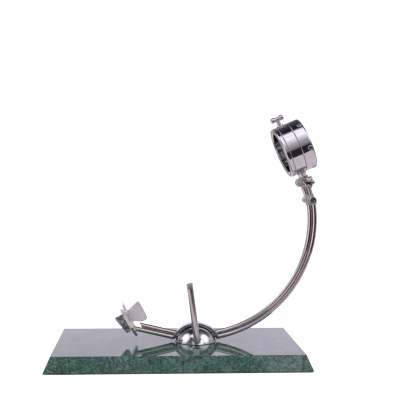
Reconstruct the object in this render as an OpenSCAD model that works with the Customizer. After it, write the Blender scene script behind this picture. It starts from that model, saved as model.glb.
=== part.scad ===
// Ham holder stand: a bevelled stone base, a ball-shaped pivot that turns and rolls,
// a double-rod arm with a toothed cradle at one end, and a turning clamp ring at the
// other end of a long double-rod arc.
// Frame: origin at the centre of the plane the rubber mat rests on, +Z up, +X towards the
// clamp ring, -Y towards the carver. Millimetres.

/* [Stone base] */
// Length of the polished top face
base_len = 480; // [440:5:520]
// Width of the polished top face
base_wid = 255; // [220:5:280]
// Thickness of the stone
base_thick = 29; // [27:0.5:34]
// How far each side slopes outwards between top and bottom
base_bevel = 12.5; // [0:0.5:20]
// Thickness of the rubber mat under the stone
mat_t = 2; // [1:0.5:3]
// How far the mat stays inside the stone's lower edges
mat_inset = 1; // [0.5:0.5:10]

/* [Ball pivot] */
// Distance of the pivot from the middle of the base
pivot_x = 37; // [20:1:60]
// Radius of the ball
ball_r = 43.4; // [43:0.2:44]
// Height of the ball's crown above the stone
ball_h = 32.5; // [32:0.5:33]
// Height of the roll axle above the stone
axle_h = 12.5; // [12:0.5:13]
// Radius of the yoke bow's outside
yoke_r = 51.5; // [51:0.5:54]
// Height of the yoke's crown above the stone
yoke_h = 38.5; // [38:0.5:40]
// Width of the yoke's ends round the axle
yoke_wid = 17.4; // [16.5:0.3:18]
// Lean of the yoke's front and rear faces, which makes its crown wider than its ends
yoke_flare = 7; // [0:1:8]

/* [Clamp lever] */
// Length of the lever bar
lever_len = 111; // [80:1:130]
// Diameter of the lever bar
lever_d = 13; // [11:0.5:14]
// Lean of the lever from the vertical
lever_lean = 8.2; // [-30:0.1:30]

/* [Double-rod arm] */
// Diameter of each rod
rod_d = 9.5; // [9:0.5:10]
// Radius of the arc's centre line
arc_r = 236; // [230:1:240]
// Rise of the arc's upper end above the horizontal through its centre
arc_end_deg = 8.3; // [4:0.1:12]
// Slope of the short arm that carries the cradle
arm_slope = 13; // [11:0.5:15]

/* [Cradle] */
// Distance from the pivot to the crossing of the cradle's plates
cradle_reach = 142; // [138:1:146]
// Height of the crossing above the stone
cradle_h = 57; // [55:1:60]
// Lean of the cradle away from the pivot
cradle_lean = 28.5; // [27:0.5:30]
// Half of the cradle's width at its upper tips
cradle_half = 40; // [34:1:46]
// Thickness of both plates
plate_t = 5; // [4:0.5:6]

/* [Clamp ring] */
// Outer radius of the ring
ring_r = 52.5; // [51:0.5:55]
// Bore radius of the turning sleeve
sleeve_bore = 42; // [41:0.5:43]
// Bore radius of the rear clamp ring
hock_bore = 38; // [36:0.5:40]
// Length of the ring along its axis
ring_len = 57; // [55:1:60]
// Slope of the ring's axis
ring_slope = 24; // [20:1:28]

/* [Hidden] */

$fn = 96;
big = 600;
run = 0.05;                       // radial running clearance of every turning fit
gap = 0.3;                        // clearance between faces that move past each other

// Colours of the bare metals and the other materials
steel = "silver";
polished = "lightsteelblue";
brushed = "gainsboro";
stone = "darkslategray";
nylon = "dimgray";
bronze = "darkgoldenrod";

// Base
top_z = mat_t + base_thick;       // height of the stone's top face
mat_corner = 10;                  // radius of the mat's corners
spigot_d = 16;                    // the ball turns on this spigot
spigot_thread_d = 12;
bush_d = 24;                      // nylon bush in the stone
recess_d = 50;                    // recess under the stone for washer and nut
recess_h = 12;
bush_flange_d = 76;
bush_flange_t = 1;

// Ball and yoke
ball_z = top_z + ball_h - ball_r; // centre of the ball
axle_z = top_z + axle_h;
axle_d = 12;
axle_bush_d = 16;
axle_bush_len = 16;
axle_half = 40.5;                 // the axle ends inside the bow
yoke_play = 1.2;                  // gap between ball and bow
yoke_z = top_z + yoke_h - yoke_r; // centre of the bow's outside
yoke_crown_wid = yoke_wid + 2 * (yoke_h - axle_h) * tan(yoke_flare);

// Lever
lever_y = -44.5;                  // plane of the lever, in front of the ball
lever_tail = 8;                   // bar below its screw
lever_screw_d = 10;
lever_spigot_d = 6;               // the screw's spigot inside the bar
lever_seat = 3;                   // the screw's shoulder behind the bar's axis
lever_face_y = -35.5;             // flat spot on the ball's front
spot_d = 18;
lever_cap_d = 14;
lever_cap_h = 10;

// Arm and arc
arc_x = pivot_x;
arc_z = top_z + 245;              // height of the arc's centre
arc_start_deg = 7;                // uncut start, trimmed by the bow like the arm's
rod_off = rod_d / 2;
arm_x = pivot_x - 46;             // where the arm's pair of rods leaves the bow
arm_z = top_z + 13;               // height of the pair of rods there
arm_len = 120;                    // uncut length, trimmed by the cradle

// Cradle
cradle_x = pivot_x - cradle_reach;
cradle_z = top_z + cradle_h;
cross_top = 17;                   // upper tips above the crossing
cross_bottom = -49.5;
cross_bottom_half = 14;
cross_taper_u = -27;              // below this the cross plate tapers to its bottom
notch_u = -15;                    // the plates' half-lap meets here
upper_rod_stop = 13;              // the upper rod ends this far short of the cross plate
tooth = 3;                        // size of the cradle's teeth

// Lower hinge at the top of the arc, in the plane of the arc
lug_t = 4.7;                      // fork cheek thickness
lug_in = 5.3;                     // inner face of the cheeks
lug_out = lug_in + lug_t;
bridge_t = 2;                     // joins the fork's cheeks over the ends of the rods
tongue_half = 5;                  // half thickness of the link's eyes
low_x = 271;
low_z = top_z + 288.3;
low_r = 6.5;
low_lobe = 11.8;                  // the fork's rounded tail reaches this far inwards
pivot_d = 8;                      // both hinge bolts
arc_end = [arc_x + arc_r * cos(arc_end_deg), arc_z + arc_r * sin(arc_end_deg)];

// Upper hinge under the ring
high_x = 259;
high_z = top_z + 324.5;
high_r = 9.2;
high_lobe = 12;
link_len = norm([high_x - low_x, high_z - low_z]);
link_lean = atan((low_x - high_x) / (high_z - low_z));
link_rod_x = [-8.2, 1.3];         // rod centres beside the line of the hinges
low_eye_r = 6.2;
high_eye_r = 9;
link_rod_from = 12;
link_rod_to = 26;

// Ring
ring_x = 206;
ring_z = top_z + 381.6;
lip_len = 9;
house_from = 9.3;
house_to = 32.4;
rear_from = 32.7;
sleeve_r = 45;                    // outer radius of the turning sleeve
house_bore = 48;
sleeve_end = 44;
neck_a = 23.5;                    // neck's place along the ring's axis
neck_d = 17;
neck_end = 64;                    // neck ends this far below the ring's axis
lock_a = 20;
lock_d = 8;
lock_bar_d = 11;
lock_bar_len = 26.5;
lock_bar_r = 67;
lock_seat = lock_bar_r - 4.2;     // the screw's shoulder inside the T-bar
lock_spigot_d = 5;
pad_from = 46;
pad_len = 3;
screw_count = 6;                  // clamp screws, one node each
screw_a = 50;
screw_d = 10;
screw_first = 41;                 // first clamp screw, from the top towards the carver
screw_step = 360 / screw_count;
screw_proud = 1.2;

// Star knob
knob_lobes = 6;
knob_r = 14;
knob_valley = 9.6;
knob_tip_r = 2.6;
knob_face_y = -25;
knob_back_y = -14;

// ---- helpers -------------------------------------------------------------

// Extrudes an outline drawn in the X-Z plane from y0 to y1
module plate_y(y0, y1) {
    rotate([90, 0, 0]) translate([0, 0, -y1]) linear_extrude(y1 - y0) children();
}

// A cylinder along Y from y0 to y1
module rod_y(d, y0, y1) {
    rotate([90, 0, 0]) translate([0, 0, -y1]) cylinder(d = d, h = y1 - y0);
}

// A cylinder along X from x0 to x1
module rod_x(d, x0, x1) {
    translate([x0, 0, 0]) rotate([0, 90, 0]) cylinder(d = d, h = x1 - x0);
}

// Frame of the ring: Z along its axis, X radially upwards, Y towards the carver
module in_ring() {
    translate([ring_x, 0, ring_z]) rotate([0, 90 - ring_slope, 0]) rotate([0, 0, 180]) children();
}

// Frame of the cradle: Z up along its lean, X towards the pivot
module in_cradle() {
    translate([cradle_x, 0, cradle_z]) rotate([0, -cradle_lean, 0]) children();
}

// Frame of the link: origin at the lower hinge, Z towards the upper hinge
module in_link() {
    translate([low_x, 0, low_z]) rotate([0, -link_lean, 0]) children();
}

// Frame of the short arm: origin at the yoke's left face, X along the rods
module in_arm() {
    translate([arm_x, 0, arm_z]) rotate([0, 180 + arm_slope, 0]) children();
}

// A hexagonal prism along Z, given across its flats
module hex(flats, h) {
    cylinder(d = flats / cos(30), h = h, $fn = 6);
}

// A cylinder with both edges chamfered, along Z
module pill(d, h, c) {
    cylinder(d1 = d - 2 * c, d2 = d, h = c);
    translate([0, 0, c]) cylinder(d = d, h = h - 2 * c);
    translate([0, 0, h - c]) cylinder(d1 = d, d2 = d - 2 * c, h = c);
}

// Two discs and the straight bar between them, a hair narrower so that it crosses their edges
module slot_shape(r, from, to) {
    d = to - from;
    w = 2 * r - 0.04;
    translate(from) circle(r);
    translate(to) circle(r);
    translate(from) rotate(atan2(d[1], d[0])) translate([0, -w / 2]) square([norm(d), w]);
}

// ---- base ----------------------------------------------------------------

module base_slab() {
    l = base_len / 2;
    w = base_wid / 2;
    b = base_bevel;
    color(stone) difference() {
        intersection() {
            translate([0, w + b, 0]) rotate([90, 0, 0]) linear_extrude(2 * (w + b))
                polygon([[-l - b, mat_t], [l + b, mat_t], [l, top_z], [-l, top_z]]);
            translate([-l - b, 0, 0]) rotate([90, 0, 90]) linear_extrude(2 * (l + b))
                polygon([[-w - b, mat_t], [w + b, mat_t], [w, top_z], [-w, top_z]]);
        }
        translate([pivot_x, 0, 0]) cylinder(d = bush_d, h = top_z + 1);
        translate([pivot_x, 0, mat_t - 1]) cylinder(d = recess_d, h = recess_h + 1);
    }
}

module base_mat() {
    l = base_len / 2 + base_bevel - mat_inset;
    w = base_wid / 2 + base_bevel - mat_inset;
    c = mat_corner;
    color("black") linear_extrude(mat_t) difference() {
        union() {
            square([2 * l, 2 * (w - c)], center = true);
            square([2 * (l - c), 2 * w], center = true);
            for (sx = [-1, 1], sy = [-1, 1]) translate([sx * (l - c), sy * (w - c)]) circle(c);
        }
        translate([pivot_x, 0]) circle(d = recess_d);
    }
}

module swivel_bush() {
    color(nylon) translate([pivot_x, 0, 0]) difference() {
        union() {
            translate([0, 0, mat_t + recess_h]) cylinder(d = bush_d, h = base_thick - recess_h);
            translate([0, 0, top_z]) cylinder(d = bush_flange_d, h = bush_flange_t);
        }
        cylinder(d = spigot_d + 2 * run, h = big, center = true);
    }
}

// ---- ball pivot, turns on the stone ---------------------------------------

module pivot_ball() {
    floor_z = top_z + bush_flange_t;
    shoulder_z = mat_t + recess_h;
    color(polished) translate([pivot_x, 0, 0]) difference() {
        union() {
            intersection() {
                translate([0, 0, ball_z]) sphere(r = ball_r);
                translate([-ball_r, -ball_r, floor_z]) cube([2 * ball_r, 2 * ball_r, ball_h]);
            }
            translate([0, 0, shoulder_z]) cylinder(d = spigot_d, h = floor_z - shoulder_z + 1);
            translate([0, 0, mat_t + 1.5]) cylinder(d = spigot_thread_d, h = recess_h);
        }
        translate([0, 0, axle_z]) rod_x(axle_bush_d, -ball_r, ball_r);
        translate([0, 0, axle_z]) rod_y(lever_screw_d + 2 * run, -ball_r, 0);
        translate([0, 0, axle_z]) rod_y(spot_d, -ball_r, lever_face_y);
    }
}

module axle_bushes() {
    reach = sqrt(ball_r * ball_r - pow(axle_z - ball_z + axle_bush_d / 2, 2)) - 0.5;
    color(bronze) translate([pivot_x, 0, axle_z]) for (side = [0, 180]) rotate([0, 0, side])
        difference() {
            rod_x(axle_bush_d, reach - axle_bush_len, reach);
            rod_x(axle_d + 2 * run, 0, big);
        }
}

module swivel_washer() {
    color(steel) translate([pivot_x, 0, mat_t + recess_h - 2.6]) difference() {
        cylinder(d = 38, h = 2.4);
        translate([0, 0, -1]) cylinder(d = spigot_thread_d, h = 5);
    }
}

module swivel_nut() {
    nut_h = 7;
    color(steel) translate([pivot_x, 0, mat_t + recess_h - 2.6 - nut_h]) difference() {
        intersection() {
            hex(19, nut_h);
            pill(22, nut_h, 1);
        }
        translate([0, 0, -1]) cylinder(d = spigot_thread_d, h = nut_h + 2);
    }
}

// ---- arm: yoke, rods and cradle, rolls on the axle -------------------------

module yoke_bow() {
    end_r = yoke_wid / 2;
    top_r = yoke_crown_wid / 2;
    color(brushed) translate([pivot_x, 0, 0]) difference() {
        intersection() {
            plate_y(-top_r, top_r) difference() {
                translate([0, yoke_z]) circle(yoke_r, $fn = 180);
                translate([0, ball_z]) circle(ball_r + yoke_play, $fn = 180);
            }
            rotate([90, 0, 90]) translate([0, axle_z, -yoke_r]) linear_extrude(2 * yoke_r) {
                circle(end_r);
                polygon([[-end_r, 0], [end_r, 0], [top_r, yoke_h - axle_h],
                    [-top_r, yoke_h - axle_h]]);
            }
        }
        translate([0, 0, axle_z]) rod_x(axle_d, -axle_half, axle_half);
    }
}

// The bow's outside, which ends the rods welded to it
module bow_outside() {
    translate([pivot_x, 0, yoke_z]) rotate([90, 0, 0])
        cylinder(r = yoke_r, h = 4 * rod_d, center = true, $fn = 180);
}

module roll_axle() {
    color(steel) translate([pivot_x, 0, axle_z]) rod_x(axle_d, -axle_half, axle_half);
}

module arm_rod_upper() {
    color(brushed) difference() {
        in_arm() rod_at_arm(rod_off);
        in_cradle() translate([plate_t / 2 + upper_rod_stop - big, -big / 2, -big / 2])
            cube([big, big, big]);
        bow_outside();
    }
}

module arm_rod_lower() {
    color(brushed) difference() {
        in_arm() rod_at_arm(-rod_off);
        in_cradle() translate([plate_t / 2 - big, -big / 2, -big / 2]) cube([big, big, big]);
        bow_outside();
    }
}

// A rod of the short arm, off above (+) or below (-) the pair's centre line
module rod_at_arm(off) {
    translate([0, 0, -off]) rod_x(rod_d, -10, arm_len);
}

// A rod of the arc at radius r, from the bow to the fork
module arc_rod(r) {
    color(brushed) difference() {
        translate([arc_x, 0, arc_z]) rotate([90, 0, 0]) rotate([0, 0, -90 + arc_start_deg])
            rotate_extrude(angle = 90 + arc_end_deg - arc_start_deg, $fn = 200)
                translate([r, 0]) circle(d = rod_d, $fn = 48);
        bow_outside();
    }
}

module arc_rod_inner() { arc_rod(arc_r - rod_off); }

module arc_rod_outer() { arc_rod(arc_r + rod_off); }

// Teeth along an edge from p to q in the plane of a plate
module teeth(p, q) {
    d = q - p;
    n = floor(norm(d) / tooth);
    translate(p) rotate(atan2(d[1], d[0])) for (i = [0 : n - 1])
        translate([i * norm(d) / n, 0])
            polygon([[0, -0.5], [norm(d) / n, -0.5], [norm(d) / n / 2, tooth * 0.6]]);
}

module cradle_cross_plate() {
    dip_half = cradle_half - 1.5; // leaves a narrow flat on each tip
    dip_r = (dip_half * dip_half + cross_top * cross_top) / (2 * cross_top);
    step = 6;                     // the toothed curve goes in chords of this many degrees
    span = asin(dip_half / dip_r);
    color(brushed) in_cradle() difference() {
        rotate([90, 0, 90]) translate([0, 0, -plate_t / 2]) linear_extrude(plate_t) {
            difference() {
                polygon([[-cradle_half, cross_top], [3 - cradle_half, 2],
                    [5 - cradle_half, cross_taper_u], [-cross_bottom_half, cross_bottom],
                    [cross_bottom_half, cross_bottom], [cradle_half - 5, cross_taper_u],
                    [cradle_half - 3, 2], [cradle_half, cross_top]]);
                translate([0, dip_r]) circle(dip_r, $fn = 180);
            }
            for (t = [-span + step / 2 : step : span - 1.5 * step])
                teeth([dip_r * sin(t), dip_r * (1 - cos(t)) - 0.2],
                    [dip_r * sin(t + step), dip_r * (1 - cos(t + step)) - 0.2]);
        }
        translate([-plate_t, -plate_t / 2, notch_u]) cube([2 * plate_t, plate_t, big]);
        cradle_pin_shape();
    }
}

module cradle_long_plate() {
    left_tip = [-24, 1];
    right_tip = [33.5, 10];
    dip = [0, 0.3];
    color(brushed) in_cradle() difference() {
        plate_y(-plate_t / 2, plate_t / 2) {
            polygon([left_tip, [-22.3, -11], [-16.5, -36.5], [-9.5, -38], [-2.5, -30], [0, -20],
                [2.5, -20], [21.5, -31.5], [29.5, -32], [34.5, -30], [35.7, -21], [35.5, 3],
                right_tip, dip]);
            teeth(left_tip, dip);
            teeth(dip, right_tip);
        }
        translate([-plate_t / 2, -plate_t, notch_u - big]) cube([plate_t, 2 * plate_t, big]);
    }
}

module cradle_pin() { color("dimgray") cradle_pin_shape(); }

// A grub screw in the front edge of the cross plate
module cradle_pin_shape() {
    in_cradle() translate([-0.7, 0, 4.4]) rod_y(3, 1 - cradle_half, 12 - cradle_half);
}

module arc_fork() {
    pivot = [low_x, low_z];
    lobe = pivot + [-low_lobe, 0.4];
    color(brushed) difference() {
        union() {
            plate_y(-lug_out, lug_out) slot_shape(low_r, lobe, pivot);
            plate_y(-lug_out, lug_out)
                translate(arc_end) rotate(arc_end_deg) translate([-rod_d, 0]) square([2 * rod_d, low_r]);
        }
        plate_y(-lug_in, lug_in)
            translate(arc_end) rotate(arc_end_deg) translate([-big / 2, bridge_t]) square(big);
        translate([low_x, 0, low_z]) rod_y(pivot_d, -big, big);
    }
}

module lower_pivot_screw() {
    head_h = 7;
    color(polished) translate([low_x, 0, low_z]) difference() {
        union() {
            rod_y(pivot_d, -lug_out - 1, lug_out + 7);
            rotate([90, 0, 0]) translate([0, 0, lug_out]) pill(14, head_h, 0.8);
        }
        rotate([90, 0, 0]) translate([0, 0, lug_out + head_h - 4]) hex(6, 5);
    }
}

module lower_pivot_nut() {
    color(polished) translate([low_x, 0, low_z]) rotate([-90, 0, 0]) translate([0, 0, lug_out])
        difference() {
            union() {
                hex(13, 6.5);
                translate([0, 0, 5]) intersection() {
                    sphere(r = 6);
                    cylinder(d = 20, h = 10);
                }
            }
            translate([0, 0, -1]) cylinder(d = pivot_d, h = 8);
        }
}

// ---- clamp lever ------------------------------------------------------------

module lever_screw() {
    color(steel) translate([pivot_x, 0, axle_z]) {
        rod_y(lever_screw_d, lever_y + lever_seat, -axle_d / 2 - gap);
        rod_y(lever_spigot_d, lever_y - 2, lever_y + lever_seat);
    }
}

module lever_bar() {
    color(steel) translate([pivot_x, lever_y, axle_z]) rotate([0, -lever_lean, 0]) difference() {
        translate([0, 0, -lever_tail]) pill(lever_d, lever_len, 1);
        rod_y(lever_spigot_d, -2, lever_d);
        rod_y(lever_screw_d, lever_seat, lever_d);
    }
}

module lever_cap() {
    color(polished) translate([pivot_x, lever_y, axle_z]) rotate([0, -lever_lean, 0])
        translate([0, 0, lever_len - lever_tail]) pill(lever_cap_d, lever_cap_h, 1.6);
}

module lever_washer() {
    color(steel) translate([pivot_x, 0, axle_z]) difference() {
        rod_y(15, lever_y + lever_d / 2, lever_face_y - 0.1);
        rod_y(lever_screw_d, -big, big);
    }
}

// ---- link between the two hinges ---------------------------------------------

module link_rods() {
    color(brushed) in_link() for (x = link_rod_x)
        translate([x, 0, link_rod_from]) cylinder(d = rod_d, h = link_rod_to - link_rod_from);
}

// A hinge eye of radius r at height z, joined to the ends of the link's rods
module link_eye(r, z, rods_z) {
    left = link_rod_x[0] - rod_d / 2;
    right = link_rod_x[1] + rod_d / 2;
    way = sign(z - rods_z);
    color(brushed) in_link() difference() {
        union() {
            translate([0, 0, z]) rod_y(2 * r, -tongue_half, tongue_half);
            plate_y(-tongue_half, tongue_half)
                polygon([[left, rods_z], [right, rods_z], [right, rods_z + 3 * way],
                    [r - 1, z + 2 * way], [1 - r, z + 2 * way], [left, rods_z + 3 * way]]);
        }
        translate([0, 0, z]) rod_y(pivot_d + 2 * run, -big, big);
    }
}

module link_eye_lower() { link_eye(low_eye_r, 0, link_rod_from); }

module link_eye_upper() { link_eye(high_eye_r, link_len, link_rod_to); }

// ---- ring head ------------------------------------------------------------------

module neck_fork() {
    pivot = [high_x, high_z];
    lobe = pivot + [-high_lobe, -0.9];
    color(brushed) difference() {
        union() {
            in_ring() translate([0, 0, neck_a]) rotate([0, -90, 0]) cylinder(d = neck_d, h = neck_end);
            for (y = [-lug_out, lug_in]) plate_y(y, y + lug_t) {
                slot_shape(high_r, lobe, pivot);
                translate([ring_x, ring_z]) rotate(ring_slope)
                    translate([neck_a - neck_d / 2, -neck_end - 5]) square([neck_d, 9]);
            }
        }
        in_ring() cylinder(r = ring_r, h = ring_len);
        translate([high_x, 0, high_z]) rod_y(pivot_d, -big, big);
    }
}

module upper_pivot_bolt() {
    color(steel) translate([high_x, 0, high_z]) {
        rod_y(pivot_d, knob_back_y - 6, lug_out + 1);
        rotate([-90, 0, 0]) translate([0, 0, lug_out]) intersection() {
            hex(13, 5.5);
            pill(15.4, 5.5, 1);
        }
    }
}

module knob_washer() {
    color(steel) translate([high_x, 0, high_z]) difference() {
        rod_y(17, -lug_out - 1.2, -lug_out);
        rod_y(pivot_d, -big, big);
    }
}

module star_knob() {
    color(polished) translate([high_x, 0, high_z]) difference() {
        union() {
            intersection() {
                plate_y(knob_face_y, knob_back_y) star_shape();
                translate([0, knob_face_y + 30, 0]) sphere(r = 30);
            }
            rod_y(15, knob_back_y - 1, -lug_out - 1.4);
        }
        rod_y(pivot_d + 2 * run, knob_back_y - 6.5, 0);
    }
}

// Star with pointed, slightly rounded lobes
module star_shape() {
    circle(knob_valley);
    for (i = [0 : knob_lobes - 1]) rotate(i * 360 / knob_lobes) {
        translate([knob_r - knob_tip_r, 0]) circle(knob_tip_r);
        tip = knob_r - knob_tip_r / 2;
        v = knob_valley;
        polygon([[0, -v * 0.56], [v * 0.8, -v * 0.5], [tip, -knob_tip_r * 0.85],
            [tip, knob_tip_r * 0.85], [v * 0.8, v * 0.5], [0, v * 0.56]]);
    }
}

module ring_housing() {
    c = 0.8;
    color(polished) in_ring() difference() {
        union() {
            rotate_extrude($fn = 200)
                polygon([[house_bore, house_from], [ring_r - c, house_from], [ring_r, house_from + c],
                    [ring_r, house_to - c], [ring_r - c, house_to], [house_bore, house_to]]);
            translate([house_bore + 2, 0, lock_a]) rotate([0, 90, 0])
                cylinder(d = 15, h = ring_r - house_bore - 0.5);
        }
        translate([0, 0, lock_a]) rotate([0, 90, 0]) cylinder(d = lock_d + 2 * run, h = big);
    }
}

// A nylon ring between the housing and the turning sleeve
module bush_ring(from, to) {
    color(nylon) in_ring() rotate_extrude($fn = 200)
        translate([sleeve_r + run, from]) square([house_bore - sleeve_r - run, to - from]);
}

module front_bush() { bush_ring(house_from + 0.4, lock_a - 5); }

module rear_bush() { bush_ring(lock_a + 5, house_to - 0.4); }

module ring_sleeve() {
    round = 3;
    color(polished) in_ring() rotate_extrude($fn = 200) difference() {
        union() {
            translate([sleeve_bore, 0]) square([ring_r - sleeve_bore - round, lip_len]);
            translate([sleeve_bore, round]) square([ring_r - sleeve_bore, lip_len - round - 0.8]);
            translate([ring_r - round, round]) circle(round, $fn = 48);
            translate([sleeve_bore, 0]) square([sleeve_r - sleeve_bore, sleeve_end]);
            polygon([[ring_r - 4, lip_len - 0.9], [ring_r, lip_len - 0.9], [ring_r - 0.8, lip_len],
                [ring_r - 4, lip_len]]);
        }
        polygon([[sleeve_bore - 1, -1], [sleeve_bore + 2, -1], [sleeve_bore + 2, 0], [sleeve_bore, 2],
            [sleeve_bore - 1, 2]]);
    }
}

module clamp_ring() {
    round = 3;
    color(polished) in_ring() difference() {
        rotate_extrude($fn = 200) difference() {
            union() {
                translate([hock_bore, rear_from])
                    square([ring_r - hock_bore - round, ring_len - rear_from]);
                translate([hock_bore, rear_from + 0.8])
                    square([ring_r - hock_bore, ring_len - rear_from - 0.8 - round]);
                translate([ring_r - round, ring_len - round]) circle(round, $fn = 48);
                polygon([[ring_r - 4, rear_from], [ring_r - 0.8, rear_from], [ring_r, rear_from + 0.9],
                    [ring_r - 4, rear_from + 0.9]]);
            }
            translate([hock_bore - 1, rear_from - 1])
                square([sleeve_r - hock_bore + 1, sleeve_end - rear_from + 1]);
            polygon([[hock_bore - 1, ring_len + 1], [hock_bore + 2, ring_len + 1],
                [hock_bore + 2, ring_len], [hock_bore, ring_len - 2], [hock_bore - 1, ring_len - 2]]);
        }
        for (i = [1 : screw_count]) at_screw(i) cylinder(d = screw_d + 2 * run, h = big);
    }
}

// Frame of clamp screw i: Z radially outwards from the ring's axis
module at_screw(i) {
    rotate([0, 0, screw_first + (i - 1) * screw_step]) translate([0, 0, screw_a]) rotate([0, 90, 0])
        children();
}

module clamp_screw(i) {
    tip = hock_bore + 0.2;
    head = ring_r + screw_proud;
    color(steel) in_ring() at_screw(i) difference() {
        translate([0, 0, tip]) pill(screw_d, head - tip, 0.8);
        translate([0, 0, head - 4]) hex(5, 5);
    }
}

module clamp_screw_1() { clamp_screw(1); }

module clamp_screw_2() { clamp_screw(2); }

module clamp_screw_3() { clamp_screw(3); }

module clamp_screw_4() { clamp_screw(4); }

module clamp_screw_5() { clamp_screw(5); }

module clamp_screw_6() { clamp_screw(6); }

module lock_screw() {
    from = pad_from + pad_len + 0.1;
    color(steel) in_ring() translate([0, 0, lock_a]) rotate([0, 90, 0]) {
        translate([0, 0, from]) cylinder(d = lock_d, h = lock_seat - from);
        translate([0, 0, lock_seat]) cylinder(d = lock_spigot_d, h = lock_bar_r - lock_seat);
    }
}

module lock_bar() {
    color(polished) in_ring() difference() {
        translate([lock_bar_r, 0, lock_a - lock_bar_len / 2]) pill(lock_bar_d, lock_bar_len, 1);
        translate([0, 0, lock_a]) rotate([0, 90, 0]) cylinder(d = lock_spigot_d, h = lock_bar_r);
        translate([0, 0, lock_a]) rotate([0, 90, 0]) cylinder(d = lock_d, h = lock_seat);
    }
}

module lock_pad() {
    color(bronze) in_ring() translate([0, 0, lock_a]) rotate([0, 90, 0])
        translate([0, 0, pad_from]) cylinder(d = lock_d - 0.1, h = pad_len);
}

base_slab();
base_mat();
swivel_bush();
pivot_ball();
axle_bushes();
swivel_washer();
swivel_nut();
yoke_bow();
roll_axle();
arm_rod_upper();
arm_rod_lower();
arc_rod_inner();
arc_rod_outer();
cradle_cross_plate();
cradle_long_plate();
cradle_pin();
arc_fork();
lower_pivot_screw();
lower_pivot_nut();
lever_screw();
lever_bar();
lever_cap();
lever_washer();
link_rods();
link_eye_lower();
link_eye_upper();
neck_fork();
upper_pivot_bolt();
knob_washer();
star_knob();
ring_housing();
front_bush();
rear_bush();
ring_sleeve();
clamp_ring();
clamp_screw_1();
clamp_screw_2();
clamp_screw_3();
clamp_screw_4();
clamp_screw_5();
clamp_screw_6();
lock_screw();
lock_bar();
lock_pad();
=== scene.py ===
"""Looks of the ham holder stand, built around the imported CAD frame. Metres, in the row frame."""

import math

import bmesh
import bpy
from mathutils import Matrix, Vector

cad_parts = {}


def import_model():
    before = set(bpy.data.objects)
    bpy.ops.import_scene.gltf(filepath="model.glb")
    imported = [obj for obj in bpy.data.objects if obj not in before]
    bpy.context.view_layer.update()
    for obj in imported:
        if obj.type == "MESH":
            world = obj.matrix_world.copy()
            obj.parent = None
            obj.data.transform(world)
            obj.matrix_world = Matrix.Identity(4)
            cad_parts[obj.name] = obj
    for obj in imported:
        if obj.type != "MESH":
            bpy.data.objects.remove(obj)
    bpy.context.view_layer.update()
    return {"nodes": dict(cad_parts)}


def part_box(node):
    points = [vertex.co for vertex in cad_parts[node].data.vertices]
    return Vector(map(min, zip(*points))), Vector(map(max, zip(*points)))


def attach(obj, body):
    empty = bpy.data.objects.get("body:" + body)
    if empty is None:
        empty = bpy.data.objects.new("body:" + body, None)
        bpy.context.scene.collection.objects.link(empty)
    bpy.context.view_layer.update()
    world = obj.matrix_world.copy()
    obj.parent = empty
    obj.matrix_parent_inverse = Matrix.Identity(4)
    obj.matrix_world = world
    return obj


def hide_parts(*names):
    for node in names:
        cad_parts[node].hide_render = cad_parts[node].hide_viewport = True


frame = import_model()
NODES = frame["nodes"]
scene = bpy.context.scene
scene.view_settings.view_transform = "Standard"

# ---- places, as the CAD has them --------------------------------------------

MM = 0.001
PIVOT_X = 0.037
TOP_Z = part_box("base_slab")[1].z
Y_AXIS = Vector((0, 1, 0))
RING_SLOPE = math.radians(24)
RING_AXIS = Vector((math.cos(RING_SLOPE), 0, math.sin(RING_SLOPE)))
RING_UP = Vector((-math.sin(RING_SLOPE), 0, math.cos(RING_SLOPE)))
RING_AT = Vector((0.206, 0, 0.4126))
RING_R = 0.0525
ROD_R = 0.00475                 # also half the distance between two rods of a pair
ARC_CENTRE = Vector((PIVOT_X, 0, 0.276))
ARC_R = 0.236
ARC_END = math.radians(8.3)
BOW_R = 0.0515
BOW_CENTRE = Vector((PIVOT_X, 0, TOP_Z + 0.0385 - BOW_R))
ARM_RISE = math.radians(13)
ARM_DIR = Vector((-math.cos(ARM_RISE), 0, math.sin(ARM_RISE)))
ARM_UP = Vector((math.sin(ARM_RISE), 0, math.cos(ARM_RISE)))
CRADLE_LEAN = math.radians(28.5)
CRADLE_FACING = Vector((math.cos(CRADLE_LEAN), 0, math.sin(CRADLE_LEAN)))
CRADLE_AT = Vector((-0.105, 0, TOP_Z + 0.057))
CRADLE_HALF_THICK = 0.0025
KNOB_AT = Vector((0.259, 0, 0.3555))
LEVER_LEAN = math.radians(8.2)
LEVER_UP = Vector((-math.sin(LEVER_LEAN), 0, math.cos(LEVER_LEAN)))
LEVER_AT = Vector((PIVOT_X, -0.0445, TOP_Z + 0.0125))
LEVER_TOP = LEVER_AT + LEVER_UP * 0.103
LOCK_AT = RING_AT + RING_AXIS * 0.020
NECK_AT = RING_AT + RING_AXIS * 0.0235 - RING_UP * RING_R


def axes(z, x=(0, 0, 1)):
    """A rotation whose Z is z and whose X is as near to x as it can be."""
    z = Vector(z).normalized()
    x = Vector(x)
    x = (x - z * x.dot(z)).normalized()
    return Matrix((x, z.cross(x), z)).transposed().to_4x4()


def place(at, z, x=(0, 0, 1)):
    return Matrix.Translation(at) @ axes(z, x)


# ---- shader helpers -----------------------------------------------------------


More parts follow.
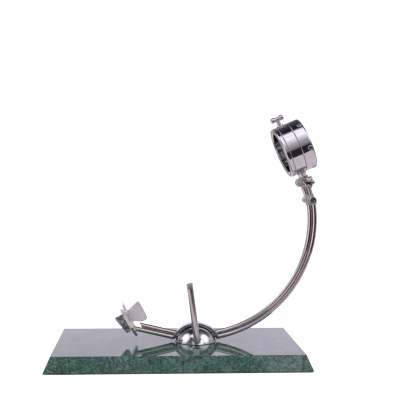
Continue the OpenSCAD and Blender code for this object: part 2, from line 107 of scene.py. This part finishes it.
class Nodes:
    """Short ways to add nodes to a tree."""

    def __init__(self, tree):
        self.tree = tree

    def add(self, kind, links=(), **settings):
        node = self.tree.nodes.new(kind)
        for key, value in settings.items():
            if hasattr(node, key):
                setattr(node, key, value)
            else:
                node.inputs[key.replace("_", " ")].default_value = value
        for socket, source in dict(links).items():
            self.tree.links.new(source, node.inputs[socket])
        return node

    def math(self, operation, a, b=0.0, clamp=False):
        node = self.tree.nodes.new("ShaderNodeMath")
        node.operation, node.use_clamp = operation, clamp
        for socket, value in zip(node.inputs, (a, b)):
            if isinstance(value, (int, float)):
                socket.default_value = value
            else:
                self.tree.links.new(value, socket)
        return node.outputs[0]

    def mix(self, factor, a, b):
        node = self.tree.nodes.new("ShaderNodeMix")
        node.data_type = "RGBA"
        for socket, value in ((node.inputs[0], factor), (node.inputs[6], a), (node.inputs[7], b)):
            if isinstance(value, (int, float)):
                socket.default_value = value
            elif isinstance(value, tuple):
                socket.default_value = (*value, 1.0)
            else:
                self.tree.links.new(value, socket)
        return node.outputs[2]

    def ramp(self, value, *stops):
        node = self.tree.nodes.new("ShaderNodeValToRGB")
        self.tree.links.new(value, node.inputs[0])
        items = node.color_ramp.elements
        while len(items) < len(stops):
            items.new(0.5)
        for item, (at, colour) in zip(items, stops):
            item.position, item.color = at, (*colour, 1)
        return node.outputs[0]

    def range(self, value, from_min, from_max, to_min, to_max):
        node = self.tree.nodes.new("ShaderNodeMapRange")
        node.inputs[1].default_value, node.inputs[2].default_value = from_min, from_max
        node.inputs[3].default_value, node.inputs[4].default_value = to_min, to_max
        self.tree.links.new(value, node.inputs[0])
        return node.outputs[0]

    def coords(self):
        return self.add("ShaderNodeTexCoord").outputs["Object"]

    def noise(self, vector, scale, detail=2.0, roughness=0.5, distortion=0.0):
        node = self.add("ShaderNodeTexNoise", {"Vector": vector}, Scale=scale, Detail=detail,
                        Roughness=roughness, Distortion=distortion)
        return node.outputs[0]

    def dot(self, vector, along):
        node = self.add("ShaderNodeVectorMath", operation="DOT_PRODUCT")
        self.tree.links.new(vector, node.inputs[0])
        node.inputs[1].default_value = along
        return node.outputs["Value"]

    def combine(self, x, y, z):
        node = self.tree.nodes.new("ShaderNodeCombineXYZ")
        for socket, value in zip(node.inputs, (x, y, z)):
            if isinstance(value, (int, float)):
                socket.default_value = value
            else:
                self.tree.links.new(value, socket)
        return node.outputs[0]


class Shader(Nodes):
    """A Principled material."""

    def __init__(self, name, **values):
        self.material = bpy.data.materials.new(name)
        self.material.use_nodes = True
        super().__init__(self.material.node_tree)
        self.principled = self.tree.nodes["Principled BSDF"]
        for key, value in values.items():
            self.principled.inputs[key.replace("_", " ")].default_value = value

    def feed(self, socket, value):
        self.tree.links.new(value, self.principled.inputs[socket])

    def bump(self, height, strength, distance, round_edges=0.0):
        node = self.add("ShaderNodeBump", {"Height": height}, Strength=strength, Distance=distance)
        if round_edges:
            bevel = self.add("ShaderNodeBevel", samples=4, Radius=round_edges)
            self.tree.links.new(bevel.outputs[0], node.inputs["Normal"])
        self.feed("Normal", node.outputs[0])


def steel(name, colour, rough, spread, streak, height, round_edges=0.0004, metallic=1.0, dim=None):
    """Stainless steel. streak makes the coordinates that the grain runs along: its first axis is the long one.
    dim makes the strength of a painted shade, from 0 to 1."""
    s = Shader(name, Metallic=metallic, Base_Color=(*colour, 1))
    where = s.coords()
    fine = s.noise(streak(s, where), 1.0, detail=3.0, roughness=0.6)
    smudge = s.noise(where, 38.0, detail=4.0, roughness=0.55, distortion=0.4)
    worn = s.math("MULTIPLY", s.range(smudge, 0.35, 0.7, 0.0, 1.0), spread)
    s.feed("Roughness", s.math("ADD", s.math("MULTIPLY", fine, spread), s.math("ADD", worn, rough - spread)))
    base = s.mix(s.range(smudge, 0.3, 0.75, 0.0, 1.0), colour, tuple(c * 0.9 for c in colour))
    if dim:
        # painted shade: the base colour is darkened where dim is strong
        base = s.mix(dim(s, where), base, tuple(c * 0.16 for c in colour))
    s.feed("Base Color", base)
    s.bump(fine, 0.35, height, round_edges)
    return s.material


def painted_shade_left_of_cross(s, where):
    """Painted shade on the part of the cradle's long plate that is left of the cross plate: a mottled darkening that
    stands in for shade and a dark reflection.
    """
    across = s.dot(where, CRADLE_FACING)
    blotch = s.range(s.noise(where, 170.0, detail=3.0), 0.40, 0.58, 0.30, 1.0)
    return s.math("MULTIPLY", s.range(across, -0.0570, -0.0525, 1.0, 0.0), blotch, clamp=True)


def even(scale):
    """Grain with no direction."""
    def streak(s, where):
        return s.add("ShaderNodeVectorMath", {0: where}, operation="SCALE", Scale=scale).outputs[0]
    return streak


def along(axis, long_scale=60.0, cross_scale=4500.0):
    """Grain in straight lines along an axis."""
    axis = Vector(axis).normalized()
    side = axis.cross(Y_AXIS).normalized()
    third = axis.cross(side)

    def streak(s, where):
        return s.combine(s.dot(where, axis * long_scale), s.dot(where, side * cross_scale),
                         s.dot(where, third * cross_scale))
    return streak


def round_axis(axis, at, turned=5200.0, far=90.0):
    """Lines left by a lathe, round an axis."""
    axis = Vector(axis).normalized()
    shift = -Vector(at).dot(axis)

    def streak(s, where):
        depth = s.math("MULTIPLY", s.math("ADD", s.dot(where, axis), shift), turned)
        slow = s.add("ShaderNodeVectorMath", {0: where}, operation="SCALE", Scale=far).outputs[0]
        return s.combine(depth, s.dot(slow, (0, 1, 0)), s.dot(slow, (0.4, 0, 0.9)))
    return streak


def round_arc(s, where):
    """Lines along the bent rods, about the arc's centre."""
    x = s.math("SUBTRACT", s.dot(where, (1, 0, 0)), ARC_CENTRE.x)
    z = s.math("SUBTRACT", s.dot(where, (0, 0, 1)), ARC_CENTRE.z)
    radius = s.math("SQRT", s.math("ADD", s.math("MULTIPLY", x, x), s.math("MULTIPLY", z, z)))
    angle = s.math("ARCTAN2", z, x)
    return s.combine(s.math("MULTIPLY", angle, 14.0), s.math("MULTIPLY", radius, 4500.0),
                     s.math("MULTIPLY", s.dot(where, (0, 1, 0)), 4500.0))


def marble():
    """Polished dark green marble: mottled ground, feathery pale strokes, thin dark veins, flecks."""
    s = Shader("green_marble", Roughness=0.035, IOR=1.5)
    s.principled.inputs["Specular IOR Level"].default_value = 0.38
    where = s.coords()
    warp = s.add("ShaderNodeTexNoise", {"Vector": where}, Scale=30.0, Detail=5.0).outputs["Color"]
    shift = s.add("ShaderNodeVectorMath", {0: warp}, operation="SUBTRACT")
    shift.inputs[1].default_value = (0.5, 0.5, 0.5)
    bent = s.add("ShaderNodeVectorMath", {0: shift.outputs[0], 2: where}, operation="MULTIPLY_ADD")
    bent.inputs[1].default_value = (0.035, 0.035, 0.035)
    flow = bent.outputs[0]
    cloud = s.math("ADD", s.math("MULTIPLY", s.noise(flow, 190.0, detail=7.0, roughness=0.72), 0.78),
                   s.math("MULTIPLY", s.noise(flow, 30.0, detail=4.0), 0.22))
    ground = s.ramp(cloud, (0.38, (0.001, 0.005, 0.005)), (0.47, (0.008, 0.027, 0.021)),
                    (0.54, (0.018, 0.052, 0.041)), (0.62, (0.050, 0.115, 0.093)))
    grey = s.range(s.noise(where, 7.0, detail=3.0), 0.46, 0.62, 0.0, 0.75)
    ground = s.mix(grey, ground, s.ramp(cloud, (0.41, (0.008, 0.014, 0.016)), (0.60, (0.070, 0.105, 0.105))))
    feather = s.noise(s.combine(s.dot(flow, (520.0, 150.0, 260.0)), s.dot(flow, (-60.0, 480.0, 110.0)),
                                s.dot(flow, (-70.0, 60.0, 170.0))), 1.0, detail=5.0, roughness=0.7, distortion=1.8)
    ground = s.mix(s.range(feather, 0.54, 0.64, 0.0, 0.85), ground, (0.080, 0.170, 0.140))
    for scale, thick, strength, colour in ((15.0, 0.016, 0.55, (0.090, 0.190, 0.155)),
                                           (17.0, 0.034, 0.95, (0.001, 0.005, 0.005)),
                                           (60.0, 0.040, 0.55, (0.002, 0.010, 0.009))):
        cell = s.add("ShaderNodeTexVoronoi", {"Vector": flow}, feature="DISTANCE_TO_EDGE", Scale=scale)
        line = s.range(cell.outputs["Distance"], 0.0, thick, 1.0, 0.0)
        fade = s.range(s.noise(where, scale * 0.7, detail=4.0), 0.47, 0.62, 0.0, strength)
        ground = s.mix(s.math("MULTIPLY", line, fade, clamp=True), ground, colour)
    fleck = s.range(s.noise(where, 260.0, detail=3.0, roughness=0.6), 0.60, 0.68, 0.0, 0.8)
    ground = s.mix(fleck, ground, (0.002, 0.007, 0.008))
    s.feed("Base Color", ground)
    s.feed("Roughness", s.range(s.noise(where, 30.0, detail=3.0), 0.3, 0.7, 0.02, 0.06))
    s.bump(s.noise(where, 9.0, detail=1.0), 0.08, 0.0006, 0.0009)
    return s.material


def dull(name, dark, pale, rough, scale, height):
    """Rubber, nylon: a fine even grain in colour, gloss and height."""
    s = Shader(name)
    where = s.coords()
    grain = s.noise(where, scale, detail=5.0, roughness=0.6)
    s.feed("Base Color", s.mix(s.range(grain, 0.3, 0.7, 0.0, 1.0), dark, pale))
    s.feed("Roughness", s.range(grain, 0.3, 0.7, rough, rough + 0.12))
    s.bump(grain, 0.5, height, 0.0004)
    return s.material


CHROME = (0.70, 0.69, 0.71)
SATIN = (0.66, 0.615, 0.61)
PLATE = ((0.76, 0.72, 0.76), 0.27, 0.08, along((0.31, 0, 0.95), cross_scale=2600.0), 0.00002, 0.0006, 0.84)
MAT = {
    "marble": marble(),
    "rubber": dull("rubber", (0.012, 0.012, 0.012), (0.03, 0.03, 0.03), 0.6, 700.0, 0.00008),
    "nylon": dull("nylon", (0.020, 0.020, 0.023), (0.035, 0.035, 0.040), 0.38, 400.0, 0.00004),
    "bronze": steel("bronze", (0.60, 0.40, 0.18), 0.30, 0.06, even(900.0), 0.00003),
    "ball": steel("ball_steel", CHROME, 0.05, 0.025, even(2500.0), 0.000004),
    "cap": steel("polished_steel", CHROME, 0.09, 0.03, even(2500.0), 0.000006),
    "ring": steel("ring_steel", CHROME, 0.08, 0.03, round_axis(RING_AXIS, RING_AT, 3200.0), 0.000004),
    "arc": steel("arc_steel", SATIN, 0.14, 0.05, round_arc, 0.00001),
    "arm": steel("arm_steel", SATIN, 0.14, 0.05, along((0.974, 0, -0.225)), 0.00001),
    "lever": steel("lever_steel", SATIN, 0.16, 0.05, along(LEVER_UP), 0.00001),
    "link": steel("link_steel", SATIN, 0.22, 0.06, along((-0.31, 0, 0.95)), 0.00001),
    "plate": steel("plate_steel", *PLATE),
    # the cradle's long plate carries a painted shade left of the cross plate
    "cradle": steel("cradle_steel", *PLATE, painted_shade_left_of_cross),
    "knob": steel("knob_steel", (0.42, 0.40, 0.42), 0.12, 0.04, even(2500.0), 0.000006),
    "bow": steel("bow_steel", (0.56, 0.55, 0.58), 0.14, 0.05, along((1, 0, 0)), 0.000008, 0.0018),
    "turned": steel("turned_steel", SATIN, 0.24, 0.06, round_axis((0, 1, 0), (0, 0, 0)), 0.00001),
    "screws": steel("screw_steel", SATIN, 0.22, 0.06, even(1800.0), 0.00001),
    "weld": steel("weld_steel", (0.58, 0.53, 0.50), 0.28, 0.08, even(1200.0), 0.00003),
}

LOOKS = {
    "marble": ["base_slab"],
    "rubber": ["base_mat"],
    "nylon": ["swivel_bush", "front_bush", "rear_bush"],
    "bronze": ["axle_bushes", "lock_pad"],
    "ball": ["pivot_ball"],
    "cap": ["lever_cap", "lock_bar", "lower_pivot_screw", "lower_pivot_nut"],
    "knob": ["star_knob"],
    "ring": ["ring_housing", "ring_sleeve", "clamp_ring"],
    "arc": ["arc_rod_inner", "arc_rod_outer"],
    "arm": ["arm_rod_upper", "arm_rod_lower"],
    "lever": ["lever_bar"],
    "link": ["link_rods"],
    "cradle": ["cradle_long_plate"],
    "plate": ["cradle_cross_plate", "arc_fork", "link_eye_lower", "link_eye_upper", "neck_fork"],
    "bow": ["yoke_bow"],
    "turned": ["roll_axle", "swivel_washer", "swivel_nut", "lever_screw", "lever_washer", "cradle_pin",
               "upper_pivot_bolt", "knob_washer"],
    "screws": ["clamp_screw_%d" % i for i in range(1, 7)] + ["lock_screw"],
}
for look, names in LOOKS.items():
    for name in names:
        NODES[name].data.materials.clear()
        NODES[name].data.materials.append(MAT[look])

modifier = NODES["base_slab"].modifiers.new("edge", "BEVEL")
modifier.width, modifier.segments = 0.0006, 2

# ---- turned parts, threads and welds ----------------------------------------------


def shell(name, rings, look, body, closed=False):
    """A smooth skin through rings of points: capped at both ends, or joined end to end."""
    mesh = bpy.data.meshes.new(name)
    bm = bmesh.new()
    loops = [[bm.verts.new(p) for p in ring] for ring in rings]
    pairs = list(zip(loops, loops[1:])) + ([(loops[-1], loops[0])] if closed else [])
    for a, b in pairs:
        for k in range(len(a)):
            bm.faces.new((a[k - 1], a[k], b[k], b[k - 1]))
    if not closed:
        bm.faces.new(loops[0])
        bm.faces.new(loops[-1])
    bmesh.ops.recalc_face_normals(bm, faces=bm.faces)
    for face in bm.faces:
        face.smooth = True
    bm.to_mesh(mesh)
    bm.free()
    mesh.set_sharp_from_angle(angle=math.radians(40))
    mesh.materials.append(MAT[look])
    piece = bpy.data.objects.new(name, mesh)
    scene.collection.objects.link(piece)
    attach(piece, body)
    return piece


def softened(profile, radius):
    """The profile with each inner corner rounded."""
    points = [Vector(p) for p in profile]
    out = [points[0]]
    for before, corner, after in zip(points, points[1:], points[2:]):
        a, b = before - corner, after - corner
        cut = min(radius, a.length * 0.45, b.length * 0.45)
        start, end = corner + a.normalized() * cut, corner + b.normalized() * cut
        for t in (0.0, 0.33, 0.67, 1.0):
            out.append(start.lerp(corner, t).lerp(corner.lerp(end, t), t))
    return out + [points[-1]]


def circle(count):
    """The angles of a ring's points."""
    return [2 * math.pi * k / count for k in range(count)]


def turned(name, profile, at, look, body, corner=0.0005):
    """A profile of (radius, height) in millimetres, turned round the Z of the matrix at."""
    rings = []
    for radius, height in softened([(r * MM, h * MM) for r, h in profile], corner):
        r = max(radius, 0.00005)
        rings.append([at @ Vector((r * math.cos(angle), r * math.sin(angle), height)) for angle in circle(96)])
    return shell(name, rings, look, body)


cap = turned("lever_cap_turned", (
    (0, 0), (5.2, 0), (5.2, 1.0), (6.95, 1.0), (6.95, 3.0), (4.8, 3.2), (4.8, 4.9), (6.85, 5.0), (6.95, 7.2),
    (5.6, 9.3), (2.5, 9.95), (0, 10)), place(LEVER_TOP, LEVER_UP), "knob", "lever")
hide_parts("lever_cap")

bar = turned("lock_bar_turned", (
    (0, -13.25), (4.4, -13.25), (5.45, -12.2), (5.45, -5.6), (4.0, -4.4), (4.0, 4.4), (5.45, 5.6), (5.45, 12.2),
    (4.4, 13.25), (0, 13.25)), place(LOCK_AT + RING_UP * 0.067, RING_AXIS, RING_UP), "cap", "lock", corner=0.0012)
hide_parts("lock_bar")


def thread(name, core, crest, pitch, start, end, at, look, body):
    """A screw whose single thread is a helical ridge, with eight rings to a turn."""
    count = int((end - start) / pitch * 8)
    rings = []
    for i in range(count + 1):
        height = start + (end - start) * i / count
        ring = []
        for k in range(48):
            angle = 2 * math.pi * k / 48
            wave = abs(((height / pitch - k / 48) % 1.0) * 2 - 1)
            r = core + (crest - core) * min(1.0, wave * 1.35)
            if i in (0, count):
                r = core
            ring.append(at @ Vector((r * math.cos(angle), r * math.sin(angle), height)))
        rings.append(ring)
    return shell(name, rings, look, body)


screw = thread("lock_screw_thread", 0.00345, 0.00398, 0.00125, 0.0491, 0.0633,
               place(LOCK_AT, RING_UP, RING_AXIS), "screws", "lock")
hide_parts("lock_screw")


def star_knob():
    """Six rounded lobes round a domed face, with a hub behind.
    Each row is a part of the full radius, how deep the lobes are there, and the height in millimetres."""
    valley, tip = 0.0110, 0.0139
    at = place(KNOB_AT, (0, -1, 0), (1, 0, 0))
    rings = []
    for part, lobe, height in ((0.01, 0, 25.0), (0.20, 0.05, 24.87), (0.40, 0.25, 24.45), (0.55, 0.50, 23.9),
                               (0.70, 0.75, 23.15), (0.80, 0.88, 22.4), (0.90, 0.96, 21.3), (0.96, 1, 20.2),
                               (1, 1, 18.8), (1, 1, 17.4), (0.98, 1, 16.0), (0.93, 0.93, 14.9), (0.86, 0.6, 14.3),
                               (0.80, 0, 14.0), (0.79, 0, 13.6), (0.79, 0, 11.8), (0.76, 0, 11.45), (0.01, 0, 11.4)):
        ring = []
        for angle in circle(144):
            reach = part * (valley + (tip - valley) * lobe * (0.5 + 0.5 * math.cos(6 * angle)) ** 0.9)
            ring.append(at @ Vector((reach * math.cos(angle), reach * math.sin(angle), height * MM)))
        rings.append(ring)
    knob = shell("star_knob_smooth", rings, "knob", "knob")
    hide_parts("star_knob")


star_knob()


def on_cylinder(centre, axis, radius):
    """How far along a line a cylinder's surface is, for points near it."""
    def reach(p, d):
        q, e = p - centre, Vector(d)
        q, e = q - axis * q.dot(axis), e - axis * e.dot(axis)
        a, b, c = e.dot(e), 2 * q.dot(e), q.dot(q) - radius * radius
        root = math.sqrt(max(b * b - 4 * a * c, 0.0))
        return min(((-b - root) / (2 * a), (-b + root) / (2 * a)), key=abs)
    return reach


def on_plane(point, normal):
    return lambda p, d: (point - p).dot(normal) / Vector(d).dot(normal)


def weld(name, body, at, along_rod, rod_r, surface, thick=0.0010):
    """A rippled weld bead round a rod where it meets a surface."""
    d = Vector(along_rod).normalized()
    v = d.cross(Y_AXIS).normalized()
    rings = []
    for angle in circle(120):
        out = Y_AXIS * math.cos(angle) + v * math.sin(angle)
        base = at + out * rod_r
        middle = base + d * surface(base, d)
        size = thick * (1 + 0.16 * math.sin(24 * angle) + 0.12 * math.sin(7 * angle + 1.3))
        rings.append([middle + out * size * math.cos(t) + d * size * math.sin(t) for t in circle(12)])
    return shell(name, rings, "weld", body, closed=True)


on_bow = on_cylinder(BOW_CENTRE, Y_AXIS, BOW_R)
on_cradle = on_plane(CRADLE_AT + CRADLE_FACING * CRADLE_HALF_THICK, CRADLE_FACING)
for name, off in (("upper", ROD_R), ("lower", -ROD_R)):
    weld("weld_bow_arm_" + name, "arm", Vector((-0.009, 0, TOP_Z + 0.013)) + ARM_UP * off, ARM_DIR, ROD_R, on_bow)
weld("weld_cradle", "arm", Vector((-0.095, 0, TOP_Z + 0.0329)) - ARM_UP * ROD_R, ARM_DIR, ROD_R, on_cradle)
for name, r in (("inner", ARC_R - ROD_R), ("outer", ARC_R + ROD_R)):
    apart = (ARC_CENTRE - BOW_CENTRE).length
    drop = math.acos((r * r + apart ** 2 - BOW_R ** 2) / (2 * apart * r))
    start = ARC_CENTRE + Vector((math.sin(drop), 0, -math.cos(drop))) * r
    weld("weld_bow_arc_" + name, "arm", start, (math.cos(drop), 0, math.sin(drop)), ROD_R, on_bow)
    end = ARC_CENTRE + Vector((math.cos(ARC_END), 0, math.sin(ARC_END))) * r
    tangent = Vector((-math.sin(ARC_END), 0, math.cos(ARC_END)))
    weld("weld_fork_" + name, "arm", end, tangent, ROD_R, on_plane(end, tangent), 0.0008)
weld("weld_neck", "head", NECK_AT, RING_UP, 0.0085, on_cylinder(RING_AT, RING_AXIS, RING_R), 0.0013)

# ---- stage, lights and camera ---------------------------------------------------


def floor_piece(name, x0, x1, y0, y1, z, colour):
    mesh = bpy.data.meshes.new(name)
    mesh.from_pydata([(x0, y0, z), (x1, y0, z), (x1, y1, z), (x0, y1, z)], [], [(0, 1, 2, 3)])
    piece = bpy.data.objects.new(name, mesh)
    scene.collection.objects.link(piece)
    s = Shader("paper_" + name, Roughness=0.9)
    s.principled.inputs["Specular IOR Level"].default_value = 0.1
    s.feed("Base Color", s.mix(s.noise(s.coords(), 3.0), colour, tuple(c * 1.02 for c in colour)))
    mesh.materials.append(s.material)
    return piece


floor = floor_piece("floor", -8, 8, -8, 8, 0.0, (0.93, 0.93, 0.935))
floor.visible_glossy = False
mirrored = floor_piece("floor_mirrored", -0.9, 0.9, -0.70, 2.2, -0.0003, (0.86, 0.77, 0.84))
mirrored.visible_camera = mirrored.visible_diffuse = False


def area_light(name, at, wide, high, power):
    """A soft lamp aimed at the middle of the stand. Mirrors don't see it: they see world()'s boxes."""
    data = bpy.data.lights.new(name, "AREA")
    data.shape, data.size, data.size_y, data.energy = "RECTANGLE", wide, high, power
    light = bpy.data.objects.new(name, data)
    light.location = at
    light.rotation_euler = (Vector((0.05, 0, 0.2)) - Vector(at)).to_track_quat("-Z", "Y").to_euler()
    scene.collection.objects.link(light)
    light.visible_camera = light.visible_glossy = False


area_light("key", (-0.1, -1.05, 1.15), 1.5, 0.75, 9)
area_light("left", (-1.25, -0.30, 0.95), 0.9, 0.8, 8)
area_light("right", (1.25, -0.45, 1.05), 0.9, 0.8, 7)
area_light("back", (0.1, 1.3, 1.3), 1.8, 0.8, 9)


def world():
    """Even white light for matt surfaces, and a studio of soft boxes and dark gaps for the metal to mirror.
    high is the height in degrees above the horizon, turn the bearing in degrees from the front."""
    w = bpy.data.worlds.new("studio")
    scene.world = w
    w.use_nodes = True
    s = Nodes(w.node_tree)
    where = s.add("ShaderNodeTexCoord").outputs["Generated"]
    x, y, z = (s.dot(where, axis) for axis in ((1, 0, 0), (0, -1, 0), (0, 0, 1)))
    high = s.math("MULTIPLY", s.math("ARCSINE", z), 180 / math.pi)
    turn = s.math("MULTIPLY", s.math("ARCTAN2", x, y), 180 / math.pi)

    def step(value, at, soft):
        node = s.add("ShaderNodeMapRange", {0: value}, interpolation_type="SMOOTHSTEP")
        node.inputs[1].default_value, node.inputs[2].default_value = at - soft, at + soft
        return node.outputs[0]

    def between(value, low, high_end, soft):
        return s.math("MULTIPLY", step(value, low, soft), s.math("SUBTRACT", 1.0, step(value, high_end, soft)))

    def spot(direction, radius, soft):
        return step(s.dot(where, Vector(direction).normalized()), math.cos(math.radians(radius)), soft)

    look = s.ramp(s.math("DIVIDE", s.math("ADD", high, 90.0), 180.0),
                  (0.0, (0.95, 0.84, 0.92)), (0.30, (0.98, 0.87, 0.94)), (0.345, (0.03, 0.025, 0.03)),
                  (0.485, (0.02, 0.018, 0.025)), (0.525, (0.30, 0.27, 0.29)), (0.57, (0.38, 0.35, 0.38)),
                  (0.65, (0.15, 0.15, 0.18)), (0.92, (0.02, 0.02, 0.028)))
    sides = s.math("MULTIPLY", s.math("SUBTRACT", 1.0, between(turn, -70, 70, 14)), between(high, -40, 30, 8))
    look = s.mix(sides, look, (0.42, 0.37, 0.38))
    behind = s.math("SUBTRACT", 1.0, between(turn, -162, 162, 4))
    look = s.mix(s.math("MULTIPLY", behind, between(high, 1, 25, 4)), look, (1.26, 1.13, 1.36))
    strip = s.math("MULTIPLY", between(turn, -62, -30, 5), between(high, -30, 8, 6))
    look = s.mix(strip, look, (1.7, 1.5, 1.5))
    fade = s.range(high, 10.0, 48.0, 0.0, 1.0)
    front = s.math("MULTIPLY", between(turn, -22, 5, 5), s.math("MULTIPLY", fade, between(high, 2, 60, 3)))
    look = s.mix(front, look, (1.40, 1.33, 1.48))
    right = s.math("MULTIPLY", between(turn, 9, 44, 5), between(high, 16, 54, 6))
    look = s.mix(right, look, (1.45, 1.36, 1.36))
    look = s.mix(s.math("MULTIPLY", between(turn, -60, 5, 8), between(high, 57, 71, 4)), look, (1.35, 1.28, 1.42))
    look = s.mix(spot((-0.762, -0.136, 0.632), 21, 0.06), look, (1.6, 1.57, 1.68))
    look = s.mix(spot((0.697, -0.296, 0.653), 21, 0.06), look, (1.6, 1.57, 1.68))
    path = s.add("ShaderNodeLightPath")
    plain = s.math("MAXIMUM", path.outputs["Is Camera Ray"], path.outputs["Is Diffuse Ray"])
    s.tree.links.new(s.mix(plain, look, (1.12, 1.12, 1.12)), s.tree.nodes["Background"].inputs["Color"])


world()

CAMERA_AT = (-0.0679, -1.5715, 0.3824)
FILM_MM, FRAME_PX, FOCAL_PX = 36.0, 416, 782.5
YAW, PITCH, ROLL = math.radians(4.631), math.radians(-2.948), math.radians(0.681)
ahead = Vector((math.sin(YAW) * math.cos(PITCH), math.cos(YAW) * math.cos(PITCH), math.sin(PITCH)))
level = Vector((math.cos(YAW), -math.sin(YAW), 0))
over = level.cross(ahead)
right = level * math.cos(ROLL) + over * math.sin(ROLL)
upward = over * math.cos(ROLL) - level * math.sin(ROLL)
camera_data = bpy.data.cameras.new("camera")
camera_data.sensor_width, camera_data.lens = FILM_MM, FILM_MM * FOCAL_PX / FRAME_PX
camera_data.clip_start, camera_data.clip_end = 0.05, 50
camera = bpy.data.objects.new("camera", camera_data)
camera.matrix_world = Matrix.Translation(CAMERA_AT) @ Matrix((right, upward, -ahead)).transposed().to_4x4()
scene.collection.objects.link(camera)
scene.camera = camera
